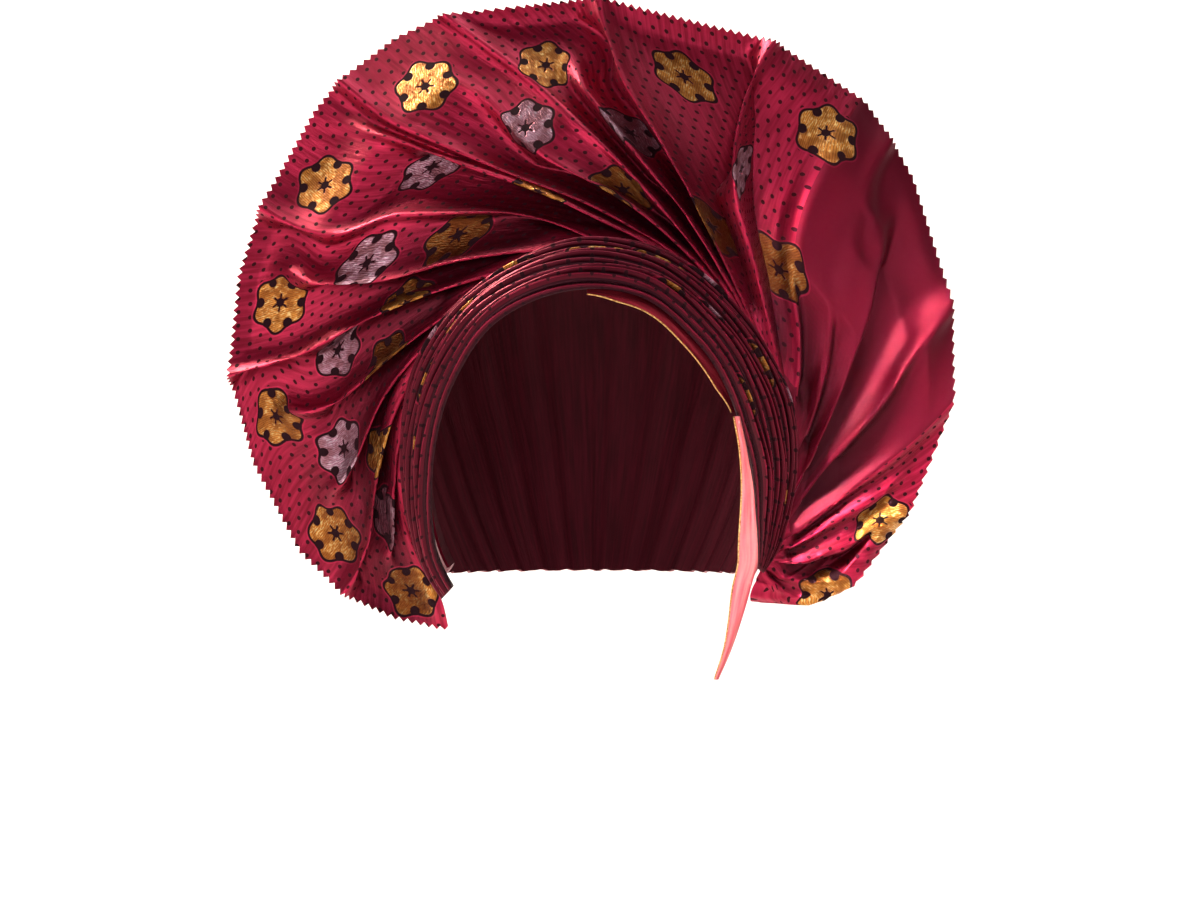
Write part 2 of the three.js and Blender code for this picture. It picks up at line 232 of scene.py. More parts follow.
def column(rows, key, name):
    """Smooth curve through one column of a table, without overshoot between its rows."""
    x, y = rows[key], rows[name]
    secant = np.diff(y) / np.diff(x)
    before, after = np.r_[secant[0], secant], np.r_[secant, secant[-1]]
    total = before + after
    slope = np.where(before * after > 0, 2 * before * after / np.where(total == 0, 1, total), 0)

    def at(place):
        place = np.clip(place, x[0], x[-1])
        i = np.clip(np.searchsorted(x, place, side="right") - 1, 0, len(x) - 2)
        span = x[i + 1] - x[i]
        s = (place - x[i]) / span
        return (
            y[i] * (1 + 2 * s) * (1 - s) ** 2
            + y[i + 1] * s * s * (3 - 2 * s)
            + span * (slope[i] * s * (1 - s) ** 2 - slope[i + 1] * s * s * (1 - s))
        )

    return at


band_inner = column(BAND, "deg", "inner")
band_outer = column(BAND, "deg", "outer")
band_share = column(BAND, "deg", "width")
rim_reach = column(RIM, "deg", "reach")
rim_flare = column(RIM, "deg", "flare")


def ease(value, start, end):
    s = np.clip((value - start) / (end - start), 0, 1)
    return s * s * (3 - 2 * s)


def mix(a, b, share):
    return a + (b - a) * share


def radial(deg):
    """Direction from the origin at a polar angle, seen from the front."""
    deg = np.radians(deg)
    return np.stack([np.cos(deg), np.zeros_like(deg), np.sin(deg)], -1)


FORWARD = np.array([0.0, -1.0, 0.0])


def band_section(deg):
    """Inner point, direction across, direction off the face and width of the band at polar angles."""
    out = radial(deg)
    inner = OPENING_RADIUS * band_inner(deg)
    step = OPENING_RADIUS * band_outer(deg) - inner
    width = np.maximum(BAND_WIDTH * band_share(deg), step * 1.02)
    back = np.sqrt(width**2 - step**2)
    start = out * inner[..., None]
    start[..., 1] = -OPENING_FORWARD - math.tan(math.radians(OPENING_LEAN)) * start[..., 2]
    across = out * (step / width)[..., None] - FORWARD * (back / width)[..., None]
    off = out * (back / width)[..., None] + FORWARD * (step / width)[..., None]
    return start, across, off, width


def band_point(deg, along, height):
    start, across, off, _ = band_section(deg)
    return start + across * along[..., None] + off * height[..., None]


def edge_radius(deg):
    return OPENING_RADIUS * band_outer(deg)


def unit(v):
    return v / np.maximum(np.linalg.norm(v, axis=-1, keepdims=True), 1e-9)


# Meshes

def grid_faces(columns, rows):
    """Quads of a grid whose points are numbered column by column."""
    i, j = np.meshgrid(np.arange(columns - 1), np.arange(rows - 1), indexing="ij")
    a = (i * rows + j).ravel()
    return np.stack([a, a + 1, a + rows + 1, a + rows], 1)


def mesh_object(name, points, faces, maps=(), values=()):
    """An object of quads. maps are (name, one pair of numbers a point or a corner),
    values are (name, one a face)."""
    mesh = bpy.data.meshes.new(name)
    points = np.asarray(points, float).reshape(-1, 3)
    mesh.vertices.add(len(points))
    mesh.vertices.foreach_set("co", points.ravel())
    mesh.loops.add(faces.size)
    mesh.loops.foreach_set("vertex_index", faces.ravel())
    mesh.polygons.add(len(faces))
    mesh.polygons.foreach_set("loop_start", np.arange(len(faces)) * faces.shape[1])
    for title, pairs in maps:
        pairs = np.asarray(pairs, float)
        corner = pairs if len(pairs) == faces.size and len(pairs) != len(points) else pairs[faces.ravel()]
        mesh.uv_layers.new(name=title).uv.foreach_set("vector", corner.ravel())
    for title, numbers in values:
        mesh.attributes.new(title, "FLOAT", "FACE").data.foreach_set("value", np.asarray(numbers, float))
    mesh.update(calc_edges=True)
    mesh.shade_smooth()
    obj = bpy.data.objects.new(name, mesh)
    bpy.context.scene.collection.objects.link(obj)
    return obj


def cut_size(points):
    """Width, length and area of the flat cloth that a grid of points was cut from."""
    across = np.linalg.norm(np.diff(points, axis=1), axis=2).sum(axis=1).max()
    length = np.linalg.norm(np.diff(points, axis=0), axis=2).sum(axis=0).max()
    first, second = points[1:, 1:] - points[:-1, :-1], points[1:, :-1] - points[:-1, 1:]
    area = np.linalg.norm(np.cross(first, second), axis=2).sum() / 2
    return (across, length), min(area, across * length)


def thicken(obj, depth, offset=-1, back=0, cut=0):
    """Gives a sheet its thickness, on its back unless offset says otherwise. back and cut: how many material
    slots on the cloth of its back and of its cut edges are."""
    solid = obj.modifiers.new("thickness", "SOLIDIFY")
    solid.thickness = depth
    solid.offset = offset
    solid.material_offset = back
    solid.material_offset_rim = cut


def crisp_edges(obj):
    """Makes a sheet's thickness part of its mesh, and its cut edges sharp."""
    sheet_faces = len(obj.data.polygons)
    graph = bpy.context.evaluated_depsgraph_get()
    solid = obj.evaluated_get(graph)
    mesh = bpy.data.meshes.new_from_object(solid, preserve_all_data_layers=True, depsgraph=graph)
    obj.modifiers.clear()
    obj.data = mesh
    edge_of = np.empty(len(mesh.loops), np.int32)
    mesh.loops.foreach_get("edge_index", edge_of)
    sharp = np.zeros(len(mesh.edges), bool)
    sharp[edge_of[2 * 4 * sheet_faces:]] = True
    mesh.edges.foreach_set("use_edge_sharp", sharp)


# Fan

def crest_curves(v):
    """The crest line of each fold, from under the band (v 0) to the rim (v 1), as points and their distance
    beyond the band's edge."""
    rim_deg, root_deg = FOLDS["rim"], FOLDS["root"]

    def root_at(deg):
        return radial(deg) * (edge_radius(deg) - ROOT_TUCK)[:, None]

    root = root_at(root_deg)
    rim = radial(rim_deg) * (edge_radius(rim_deg) + FAN_REACH * rim_reach(rim_deg))[:, None]
    chord = np.linalg.norm(rim - root, axis=1)[:, None]
    edge = unit(root_at(root_deg + 1) - root_at(root_deg - 1))
    tilt = math.radians(-ROOT_TILT)
    leave = np.stack(
        [edge[:, 0] * math.cos(tilt) - edge[:, 2] * math.sin(tilt), 0 * edge[:, 0],
         edge[:, 0] * math.sin(tilt) + edge[:, 2] * math.cos(tilt)], 1)
    arrive = radial(rim_deg + FOLDS["turn"])
    a, b = root + leave * chord * ROOT_HANDLE, rim - arrive * chord * RIM_HANDLE
    v = v[None, :, None]
    line = (root[:, None] * (1 - v) ** 3 + 3 * a[:, None] * v * (1 - v) ** 2
            + 3 * b[:, None] * v**2 * (1 - v) + rim[:, None] * v**3)
    run = unit(np.gradient(line, axis=1))
    places = np.array(BOW_PLACES, float)
    bow = np.stack([
        column({"place": places, "shift": np.array([0, low, mid, high, 0.0])}, "place", "shift")(v[0, :, 0])
        for low, mid, high in zip(FOLDS["low"], FOLDS["mid"], FOLDS["high"])
    ])[..., None] * MM
    line += np.stack([-run[..., 2], 0 * run[..., 0], run[..., 0]], -1) * bow
    around = np.degrees(np.arctan2(line[..., 2], line[..., 0]))
    around = np.where(around < -90, around + 360, around)
    start, across, _, width = band_section(around)
    distance = np.linalg.norm(line, axis=2) - edge_radius(around)
    share = np.clip(distance / (FAN_REACH * rim_reach(around)), 0, 1)
    line[..., 1] = (
        start[..., 1] + across[..., 1] * width + FAN_FLARE * rim_flare(around) * distance
        - FAN_CUP * np.sin(np.pi * share) * (1 - share)
        + ROOT_BACK * (1 - ease(distance, 0, ROOT_BACK_REACH))
    )
    return line, distance


def fold_profile(kept, cloth, place, offset, distance, v):
    """Sideways place and depth of the cloth at each place across it and row, from the kept crests."""
    names = {key: FOLDS[key][kept[:-1]] for key in ("valley", "lip", "side")}
    starts = np.r_[0, np.cumsum(cloth)][kept]
    width = np.diff(starts)
    span = np.maximum(np.diff(offset[kept], axis=0), CREST_GAP)
    near = (distance[kept][1:] + distance[kept][:-1]) / 2
    overlap = mix(ROOT_OVERLAP, FOLD_OVERLAP, ease(near, 0, OVERLAP_REACH))
    deepest = mix(ROOT_DEPTH, FOLD_DEPTH, ease(near, 0, DEPTH_REACH))
    beside = np.minimum(distance[kept][1:], distance[kept][:-1])
    deepest = np.minimum(deepest, CAP_CLEARANCE + DEPTH_SLOPE * np.maximum(beside, 0))

    # The valley lies on the ellipse whose foci are the two crests and whose string is the cloth between them.
    string = np.minimum(width[:, None], span + 2 * overlap)
    half = string / 2
    minor = np.sqrt(np.maximum(half**2 - (span / 2) ** 2, 1e-12))
    valley_x = np.minimum(names["valley"][:, None] * MM, 0.45 * span) * mix(0.2, 1, v[None])
    valley_depth = minor * np.sqrt(np.clip(1 - ((valley_x - span / 2) / half) ** 2, 0, 1))
    low = valley_depth > deepest
    valley_x = np.where(low, span / 2 - half * np.sqrt(np.clip(1 - (deepest / minor) ** 2, 0, 1)), valley_x)
    valley_depth = np.where(low, deepest, valley_depth)
    face = np.hypot(span - valley_x, valley_depth)

    gap = np.clip(np.searchsorted(starts, place, side="right") - 1, 0, len(width) - 1)
    local = (place - starts[gap])[:, None]
    turned = names["side"][gap, None] < 0
    local = np.where(turned, width[gap, None] - local, local)
    fx, fd, fl, p = valley_x[gap], valley_depth[gap], face[gap], span[gap]
    turn = np.maximum(width[gap, None] - fl, 1e-6)
    steep = np.clip(local / turn, 0, 1)
    rise = np.clip((local - turn) / fl, 0, 1)
    lip = names["lip"][gap, None] * MM
    curl = (1 - np.exp(-(1 - rise) * fl / lip)) / (1 - np.exp(-fl / lip))
    x = np.where(local < turn, fx * steep, fx + (p - fx) * rise)
    depth = np.where(local < turn, fd * steep, fd * curl)
    x = np.where(turned, p - x, x)
    return offset[kept][gap] + x, depth


def fan_surface():
    """The folded cloth: its points [column, row, 3], their places across and along the flat cloth, the
    places across it where the folds start, and the painted shade at each point, 1 where there is none."""
    v = np.linspace(0, 1, FAN_ROWS)
    crest, distance = crest_curves(v)
    run = unit(np.gradient(crest, axis=1))
    step = crest[1:] - crest[:-1]
    heading = unit(run[1:] + run[:-1])
    along = (step * heading).sum(-1)
    span = np.maximum(np.linalg.norm(step - along[..., None] * heading, axis=-1), CREST_GAP)
    offset = np.concatenate([np.zeros((1, FAN_ROWS)), np.cumsum(span, axis=0)])
    cloth = span[:, -1] * FOLDS["full"][:-1]
    starts = np.r_[0, np.cumsum(cloth)]
    total = starts[-1]
    place = np.linspace(0, total, int(round(total / (TOOTH_PITCH / 2))) + 1)

    every = np.arange(len(crest))
    lasting = np.flatnonzero(FOLDS["start"] > 1)
    inner_x, inner_depth = fold_profile(every, cloth, place, offset, distance, v)
    outer_x, outer_depth = fold_profile(lasting, cloth, place, offset, distance, v)
    fading = FOLDS["start"] <= 1
    gone = ease(v[None], FOLDS["start"][:, None] - 0.14, FOLDS["start"][:, None] + 0.06)
    gap = np.clip(np.searchsorted(starts, place, side="right") - 1, 0, len(cloth) - 1)
    left = np.where(fading[gap], gap, gap + 1)
    right = np.where(fading[gap + 1], gap + 1, gap)
    share = ((place - starts[gap]) / cloth[gap])[:, None]
    merged = mix(gone[left], gone[right], share)
    x, depth = mix(inner_x, outer_x, merged), mix(inner_depth, outer_depth, merged)

    points = np.empty(x.shape + (3,))
    for row in range(FAN_ROWS):
        for axis in range(3):
            points[:, row, axis] = np.interp(x[:, row], offset[:, row], crest[:, row, axis])
    points[..., 1] += depth
    inner = points[1:-1] / 2 + (points[:-2] + points[2:]) / 4
    points = np.concatenate([points[:1], inner, points[-1:]])

    length = np.linalg.norm(np.diff(points, axis=1), axis=2)
    inward = np.concatenate([np.cumsum(length[:, ::-1], axis=1)[:, ::-1], np.zeros((len(points), 1))], axis=1)
    slant = np.r_[0, np.cumsum(along[:, -1])]
    rim_place = np.interp(place, starts, slant)
    at = np.stack([np.repeat(place[:, None], FAN_ROWS, 1), rim_place[:, None] - inward], -1)

    # Painted shade: cloth deep in the folds beside the band is painted darker, as shade falls there under the
    # layers over it, and the deepest folds farther out are painted a little darker too.
    around = np.degrees(np.arctan2(points[..., 2], points[..., 0])) % 360
    reach = np.linalg.norm(points[..., [0, 2]], axis=2) - edge_radius(around)
    near_band = 1 - ease(reach, 0, PAINTED_SHADE_REACH)
    sunk = np.clip(depth / PAINTED_SHADE_DEPTH, 0, 1)
    shade = 1 - near_band * (0.14 + 0.8 * sunk) - (1 - near_band) * 0.35 * np.clip(depth / FOLD_DEPTH, 0, 1)

    # Pinked teeth
    out = unit(points[:, -1] - points[:, -2])
    tooth = np.where(np.arange(len(points)) % 2, 0.5, -0.5) * TOOTH_HEIGHT
    points[:, -1] += out * tooth[:, None]
    at[:, -1, 1] += tooth
    return points, at, starts, shade


def fan_object():
    points, at, starts, shade = fan_surface()
    columns, rows = points.shape[:2]
    faces = grid_faces(columns, rows)
    flat_at, flat = at.reshape(-1, 2), points.reshape(-1, 3)
    middle = flat_at[faces].mean(axis=1)

    # Each face belongs to its nearest floret, whose middle is where the cloth shows there in front view.
    centres = []
    for x, z in zip(FLORETS["x"] * MM, FLORETS["z"] * MM):
        miss = np.hypot(flat[:, 0] - x, flat[:, 2] - z)
        close = np.flatnonzero(miss < miss.min() + 1.5 * MM)
        centres.append(flat_at[close[flat[close, 1].argmin()]])
    centres = np.array(centres)
    apart = middle[:, None] - centres[None]
    nearest = np.hypot(apart[..., 0], apart[..., 1]).argmin(axis=1)
    corner = flat_at[faces] - centres[nearest][:, None]
    twist = (nearest * 37 % 60) * math.pi / 180
    cos, sin = np.cos(twist)[:, None], np.sin(twist)[:, None]
    own = np.stack([corner[..., 0] * cos - corner[..., 1] * sin,
                    corner[..., 0] * sin + corner[..., 1] * cos], -1)

    plain_from, plain_to = starts[5], starts[9]
    dotted = 1.0 - ((middle[:, 0] > plain_from) & (middle[:, 0] < plain_to))
    fan = mesh_object(
        "brocade_fan", points, faces,
        [("cloth", flat_at / PATTERN_UNIT), ("floret", own.reshape(-1, 2) / PATTERN_UNIT)],
        [("metal", FLORETS["metal"][nearest]), ("dotted", dotted),
         ("shade", shade.ravel()[faces].mean(axis=1)), ("lot", nearest * 3.7),
         ("lit", FLORETS["lit"][nearest])],
    )
    thicken(fan, FAN_CLOTH, cut=1)
    size = (at[..., 0].max(), np.ptp(at[..., 1], axis=1).max())
    area = float(np.mean(at[:, -1, 1] - at[:, 0, 1]) * size[0])
    return fan, size, area


# Band

def band_object():
    stations, fine = 170, 8
    rows = PLEATS * fine + 1
    first, last = BAND["deg"][0], BAND["deg"][-1]
    t = np.linspace(0, 1, stations)[:, None]
    deg = mix(first, last, t)
    s = np.linspace(0, 1, rows)[None]
    pleat = np.minimum((s * PLEATS).astype(int), PLEATS - 1)
    q = s * PLEATS - pleat
    width = band_section(deg)[3]
    full = width / BAND_WIDTH
    swell = BAND_EDGE + (BAND_CROWN - BAND_EDGE) * np.sin(np.pi * np.clip(s, 0, 1)) ** 0.8
    sway = 0.25 * np.sin(deg / 9 + pleat * 2.1) + 0.15 * np.sin(deg / 4.3 + pleat * 4.7)
    warped = np.where(q < PLEAT_RIDGE, q / PLEAT_RIDGE / 2, 0.5 + (q - PLEAT_RIDGE) / (1 - PLEAT_RIDGE) / 2)
    ridge = 1 - np.abs(2 * warped - 1) ** 1.25
    lift = (1 + 0.3 * np.sin(deg / 17 + pleat * 1.7)) * mix(0.35, 1, ease(s, 0, 0.15))
    height = full * (swell - PLEAT_SINK + PLEAT_HEIGHT * ridge * lift)
    place = np.clip(s + sway * 0.25 / PLEATS * np.sin(np.pi * s), 0, 1)
    deg = np.repeat(deg, rows, 1)
    points = band_point(deg, place * width, height)
    # The cloth turns under at both edges and closes behind.
    under = np.linspace(1, 0, 9)[None]
    behind = -full * (BAND_EDGE + (BAND_LINING - BAND_EDGE) * np.sqrt(np.sin(np.pi * under)))
    back = band_point(np.repeat(deg[:, :1], 9, 1), under * width, behind)
    ring = np.concatenate([points, back], axis=1)
    count = ring.shape[1]
    i, j = np.meshgrid(np.arange(stations - 1), np.arange(count), indexing="ij")
    a, b = (i * count + j).ravel(), (i * count + (j + 1) % count).ravel()
    faces = np.stack([a, b, b + count, a + count], 1)

    along = np.concatenate([[0], np.cumsum(np.linalg.norm(np.diff(points[:, rows // 2], axis=0), axis=1))])
    offset = (np.arange(PLEATS) * 23.7 % 31) * MM
    cloth_s = np.concatenate([np.repeat(offset[pleat] + q * PLEAT_CLOTH, stations, 0),
                              np.repeat(np.linspace(0, 1, 9)[None] * BAND_WIDTH + 0.2, stations, 0)], 1)
    cloth = np.stack([cloth_s, np.repeat(along[:, None], count, 1)], -1).reshape(-1, 2)
    face_pleat = np.where(j.ravel() < rows - 1, np.minimum(j.ravel() // fine, PLEATS - 1), -1)
    face_q = (j.ravel() - face_pleat * fine) / fine
    far = np.full((len(faces), 4, 2), 0.5)
    metal = np.zeros(len(faces))
    corner_along = along[faces // count]
    corner_q = ((faces % count) - face_pleat[:, None] * fine) / fine
    for deg_k, across, length, kind in zip(*SLIVERS.values()):
        centre = np.interp(deg_k, np.linspace(first, last, stations), along)
        own = np.stack([(corner_q - PLEAT_RIDGE) * PLEAT_CLOTH, corner_along - centre], -1)
        half = length / 2 * MM
        own[..., 0] += math.sqrt(max(FLORET_RADIUS**2 - half**2, 0)) * 0.9
        here = (face_pleat == min(int(across * PLEATS), PLEATS - 1)) & (np.abs(own[:, 0, 1]) < half + 4 * MM)
        far[here] = own[here]
        metal[here] = kind
    # Painted shade: the whole band is painted darker, darkest in the grooves between the pleats and least at
    # each ridge; lit 2 keeps the slivers' threads lighter than that painted shade.
    band = mesh_object(
        "pleated_band", ring, faces,
        [("cloth", cloth / PATTERN_UNIT), ("floret", far.reshape(-1, 2) / PATTERN_UNIT)],
        [("metal", metal), ("dotted", np.where(face_pleat >= 0, 1.0, 0.0)),
         ("shade", mix(0.0, 0.44, np.clip(1 - np.abs(face_q + 0.06 - PLEAT_RIDGE) / 0.2, 0, 1) ** 1.5)),
         ("lit", np.full(len(faces), 2.0))],
    )
    close_ends(band)
    size = (PLEATS * PLEAT_CLOTH, along[-1])
    return band, size, size[0] * size[1] * full.mean()


def close_ends(obj):
    """Closes the two ends of a tube of rings."""
    work = bmesh.new()
    work.from_mesh(obj.data)
    edges = [e for e in work.edges if e.is_boundary]
    bmesh.ops.holes_fill(work, edges=edges, sides=0)
    bmesh.ops.triangulate(work, faces=[f for f in work.faces if len(f.verts) > 4])
    work.to_mesh(obj.data)
    work.free()
    obj.data.shade_smooth()


# Cap

def cap_object():
    columns, rows = 110, 60
    t = np.linspace(0, 1, columns)[:, None]
    s = np.linspace(0, 1, rows)[None]
    deg = mix(-27, 222, t)
    _, _, _, width = band_section(deg)
    depth = BAND_LINING + 1.5 * MM
    hem = CAP_HEM_DROP / CAP_TAPER

    def size(z):
        return np.stack([np.full_like(z, CAP_HALF_WIDTH), np.full_like(z, CAP_HALF_DEPTH),
                         np.where(z > 0, CAP_HEIGHT, CAP_TAPER)], -1)

    edge = band_point(deg, width * CAP_EDGE, np.full_like(width, -depth - CAP_TUCK))
    front = edge / size(edge[..., 2])
    plan, arch = np.radians(mix(22, 158, t)), np.radians(mix(-27, 207, t))
    around = math.sqrt(1 - hem * hem)
    low = np.stack([np.cos(plan) * around, np.sin(plan) * around, np.full_like(plan, -hem)], -1)
    top = unit(np.stack([np.cos(arch), np.full_like(arch, 0.32), np.sin(arch)], -1))
    k = s[..., None]
    way = unit(unit(front) * (1 - k) ** 2 + top * 3 * k * (1 - k) + low * k * k)
    reach = np.linalg.norm(front, axis=-1, keepdims=True)
    points = way * mix(1, reach, (1 - k) ** 1.1)
    out = unit(points)
    points = points * size(points[..., 2])
    # Soft gathers run from the crown to the hem and deepen towards it.
    wave = np.sin(t * 2 * np.pi * CAP_GATHERS + 1.3 * np.sin(s * 3 + t * 20))
    wave = wave + 0.5 * np.sin(t * 2 * np.pi * 31 + 2 * s)
    gather = GATHER_DEPTH * ease(s, 0.3, 1) ** 1.5 * ease(t, 0, 0.1) * ease(1 - t, 0, 0.1)
    points = points + out * (wave * gather)[..., None]
    start = band_point(deg, width * CAP_START, np.full_like(width, -depth))
    points = np.concatenate([start, points], axis=1)
    rows += 1
    steps = np.linalg.norm(np.diff(points, axis=1), axis=2)
    length = np.concatenate([np.zeros((columns, 1)), np.cumsum(steps, 1)], 1)
    cloth = np.stack([np.repeat(t * 0.42, rows, 1), length], -1)
    cap = mesh_object("crown_cap_cloth", points, grid_faces(columns, rows),
                      [("cloth", cloth.reshape(-1, 2) / PATTERN_UNIT)])
    thicken(cap, 1.2 * MM, 0, back=1)
    return cap, cut_size(points)


# Under-wrap and hanging end

def under_wrap_object():
    columns, rows = 60, 9
    deg = np.linspace(11, 91, columns)[:, None]
    s = np.linspace(0, 1, rows)[None]
    showing = 2.4 * MM * ease(deg, 10, 24) * ease(deg, 92, 76)
    along = mix(-showing, 8 * MM, s)
    level = -(BAND_LINING + 1.1 * MM) + 0.5 * MM * np.sin(s * 9 + deg / 12)
    points = band_point(np.repeat(deg, rows, 1), along + 0.4 * MM * np.sin(deg / 7), level)
    cloth = np.stack([along, np.repeat(deg * MM, rows, 1)], -1)
    strip = mesh_object("under_wrap_strip", points, grid_faces(columns, rows),
                        [("cloth", cloth.reshape(-1, 2) / PATTERN_UNIT)])
    thicken(strip, 0.8 * MM, 0)
    return strip, points[:, 0], cut_size(points)


TAIL_LENGTH, TAIL_WIDTH, TAIL_FOLD = 104 * MM, 7.6 * MM, 1.1 * MM
TAIL = table(
    "drop shift width",
    (0, 0, 0.30),
    (0.14, 0.36, 0.38),
    (0.31, 0.58, 0.66),
    (0.54, 0.60, 1),
    (0.65, 0.26, 0.94),
    (0.78, -0.10, 0.64),
    (0.88, -0.45, 0.40),
    (1, -1.05, 0.20),
)


def tail_object():
    """A narrow strip folded double along its outer side, hanging from the band's inner edge."""
    columns, layer = 70, 11
    drop = np.linspace(0, 1, columns)[:, None]
    s = np.r_[np.linspace(-0.5, 0.5, layer), np.linspace(0.5, -0.5, layer)][None]
    behind = np.r_[np.zeros(layer), np.ones(layer)][None] * TAIL_FOLD
    shift, width = column(TAIL, "drop", "shift")(drop), column(TAIL, "drop", "width")(drop)
    inward = -0.5 * MM - TAIL_WIDTH * 0.2
    hung = band_point(np.array([9.0]), np.array([inward]), np.array([BAND_CROWN / 3]))[0]
    x = hung[0] + TAIL_WIDTH * (shift + s * width)
    crease = np.abs(s + 0.12) * 2
    y = hung[1] + width * (1.1 * MM * crease - 0.6 * MM) - 0.4 * MM * np.sin(drop * 9 + s * 6) + behind
    z = hung[2] - TAIL_LENGTH * drop + 0 * s
    points = np.stack([x, y, z], -1)
    fold = np.r_[np.linspace(0, 1, layer), np.linspace(1.05, 2.05, layer)][None] * TAIL_WIDTH
    cloth = np.stack([np.repeat(fold, columns, 0), np.repeat(drop * TAIL_LENGTH, 2 * layer, 1)], -1)
    tail = mesh_object("hanging_end", points, grid_faces(columns, 2 * layer),
                       [("cloth", cloth.reshape(-1, 2) / PATTERN_UNIT)])
    thicken(tail, 0.5 * MM, 0)
    return tail, points[:, 0], cut_size(points)


def thread(name, points, radius):
    """A round thread along points, as a mesh."""
    points = np.asarray(points)
    run = unit(np.gradient(points, axis=0))
    side = unit(np.cross(run, FORWARD))
    up = np.cross(side, run)
    turn = np.linspace(0, 2 * np.pi, 7)[:-1]
    cos, sin = np.cos(turn)[None, :, None], np.sin(turn)[None, :, None]
    ring = points[:, None] + radius * (side[:, None] * cos + up[:, None] * sin)
    count, sides = ring.shape[:2]
    i, j = np.meshgrid(np.arange(count - 1), np.arange(sides), indexing="ij")
    a, b = (i * sides + j).ravel(), (i * sides + (j + 1) % sides).ravel()
    obj = mesh_object(name, ring, np.stack([a, b, b + sides, a + sides], 1))
    close_ends(obj)
    return obj


# Materials

class Nodes:
    """Short names for building a material's nodes."""

    def __init__(self, name):
        self.material = bpy.data.materials.new(name)
        self.material.use_nodes = True
        self.tree = self.material.node_tree
        self.shader = self.tree.nodes["Principled BSDF"]

    def node(self, kind, **settings):
        node = self.tree.nodes.new("ShaderNode" + kind)
        for key, value in settings.items():
            setattr(node, key, value)
        return node

    def put(self, socket, value):
        if isinstance(value, bpy.types.NodeSocket):
            self.tree.links.new(value, socket)
        else:
            socket.default_value = value

    def math(self, operation, *values, clamp=False):
        node = self.node("Math", operation=operation, use_clamp=clamp)
        for socket, value in zip(node.inputs, values):
            self.put(socket, value)
        return node.outputs[0]

    def times(self, a, b, clamp=False):
        return self.math("MULTIPLY", a, b, clamp=clamp)

    def plus(self, a, b):
        return self.math("ADD", a, b)

    def minus(self, a, b, clamp=False):
        return self.math("SUBTRACT", a, b, clamp=clamp)

    def attribute(self, name):
        return self.node("Attribute", attribute_name=name).outputs["Fac"]

    def map(self, name):
        split = self.node("SeparateXYZ")
        self.put(split.inputs[0], self.node("UVMap", uv_map=name).outputs[0])
        scale = PATTERN_UNIT / MM
        return self.times(split.outputs[0], scale), self.times(split.outputs[1], scale)

    def join(self, x, y, z=0.0):
        node = self.node("CombineXYZ")
        for socket, value in zip(node.inputs, (x, y, z)):
            self.put(socket, value)
        return node.outputs[0]

    def noise(self, vector, scale, detail=2.0, roughness=0.5):
        node = self.node("TexNoise")
        self.put(node.inputs["Vector"], vector)
        for key, value in (("Scale", scale), ("Detail", detail), ("Roughness", roughness)):
            node.inputs[key].default_value = value
        return node.outputs[0]

    def ramp(self, value, low, high):
        node = self.node("MapRange", interpolation_type="SMOOTHSTEP")
        for socket, number in zip(node.inputs, (value, low, high)):
            self.put(socket, number)
        return node.outputs[0]

    def blend(self, share, a, b):
        node = self.node("Mix", data_type="RGBA")
        for socket, value in ((node.inputs[0], share), (node.inputs[6], a), (node.inputs[7], b)):
            self.put(socket, value)
        return node.outputs[2]

    def number(self, share, a, b):
        node = self.node("Mix", data_type="FLOAT")
        for socket, value in ((node.inputs[0], share), (node.inputs[2], a), (node.inputs[3], b)):
            self.put(socket, value)
        return node.outputs[0]

    def bump(self, height, strength, distance, normal=None):
        node = self.node("Bump")
        self.put(node.inputs["Strength"], strength)
        self.put(node.inputs["Distance"], distance)
        self.put(node.inputs["Height"], height)
        if normal is not None:
            self.put(node.inputs["Normal"], normal)
        return node.outputs[0]

    def set(self, **values):
        for key, value in values.items():
            self.put(self.shader.inputs[key.replace("_", " ")], value)


def rgb(red, green, blue):
    """Linear colour of an 8-bit screen colour."""
    def linear(c):
        return c / 255 / 12.92 if c <= 10 else ((c / 255 + 0.055) / 1.055) ** 2.4

    return linear(red), linear(green), linear(blue), 1


DEEP, ROSE = rgb(132, 10, 40), rgb(184, 34, 70)
PLAIN_FIELD = rgb(112, 15, 40)
INK, RUST, SHADE = rgb(30, 5, 12), rgb(104, 46, 16), rgb(44, 2, 14)
GOLD_THREAD, SILVER_THREAD = rgb(226, 150, 66), rgb(222, 172, 194)
GLINT, PALE_GLINT = rgb(255, 226, 150), rgb(255, 236, 246)
# Painted shade: darker copies of the gold and silver thread colours, for threads in shade.
SHADED_GOLD_THREAD, SHADED_SILVER_THREAD = rgb(74, 28, 10), rgb(82, 34, 48)


def taffeta(nodes, across, along, low, high, shaded=False):
    """Colour and bump of the plain cloth: slight streaks along the folds and a fine weave."""
    streak = nodes.noise(nodes.join(nodes.times(across, 0.55), nodes.times(along, 0.035)), 1.0, 3.0)
    cloud = nodes.noise(nodes.join(nodes.times(across, 0.04), nodes.times(along, 0.03)), 1.0, 3.0)
    colour = nodes.blend(nodes.ramp(streak, 0.3, 0.72), low, high)
    colour = nodes.blend(nodes.times(nodes.ramp(cloud, 0.4, 0.75), 0.4), colour, high)
    # With shaded: the undotted field gets its own plain colour, and the shade attribute paints shade towards
    # SHADE.
    if shaded:
        field = nodes.blend(nodes.times(nodes.ramp(cloud, 0.3, 0.8), 0.4), PLAIN_FIELD, DEEP)
        colour = nodes.blend(nodes.attribute("dotted"), field, colour)
        colour = nodes.blend(nodes.attribute("shade"), SHADE, colour)
    warp = nodes.math("SINE", nodes.times(across, 2 * math.pi / 0.45))
    weft = nodes.math("SINE", nodes.times(along, 2 * math.pi / 0.6))
    weave = nodes.times(warp, weft)
    crinkle = nodes.noise(nodes.join(nodes.times(across, 0.42), nodes.times(along, 0.06)), 1.0, 4.0, 0.6)
    return colour, weave, crinkle


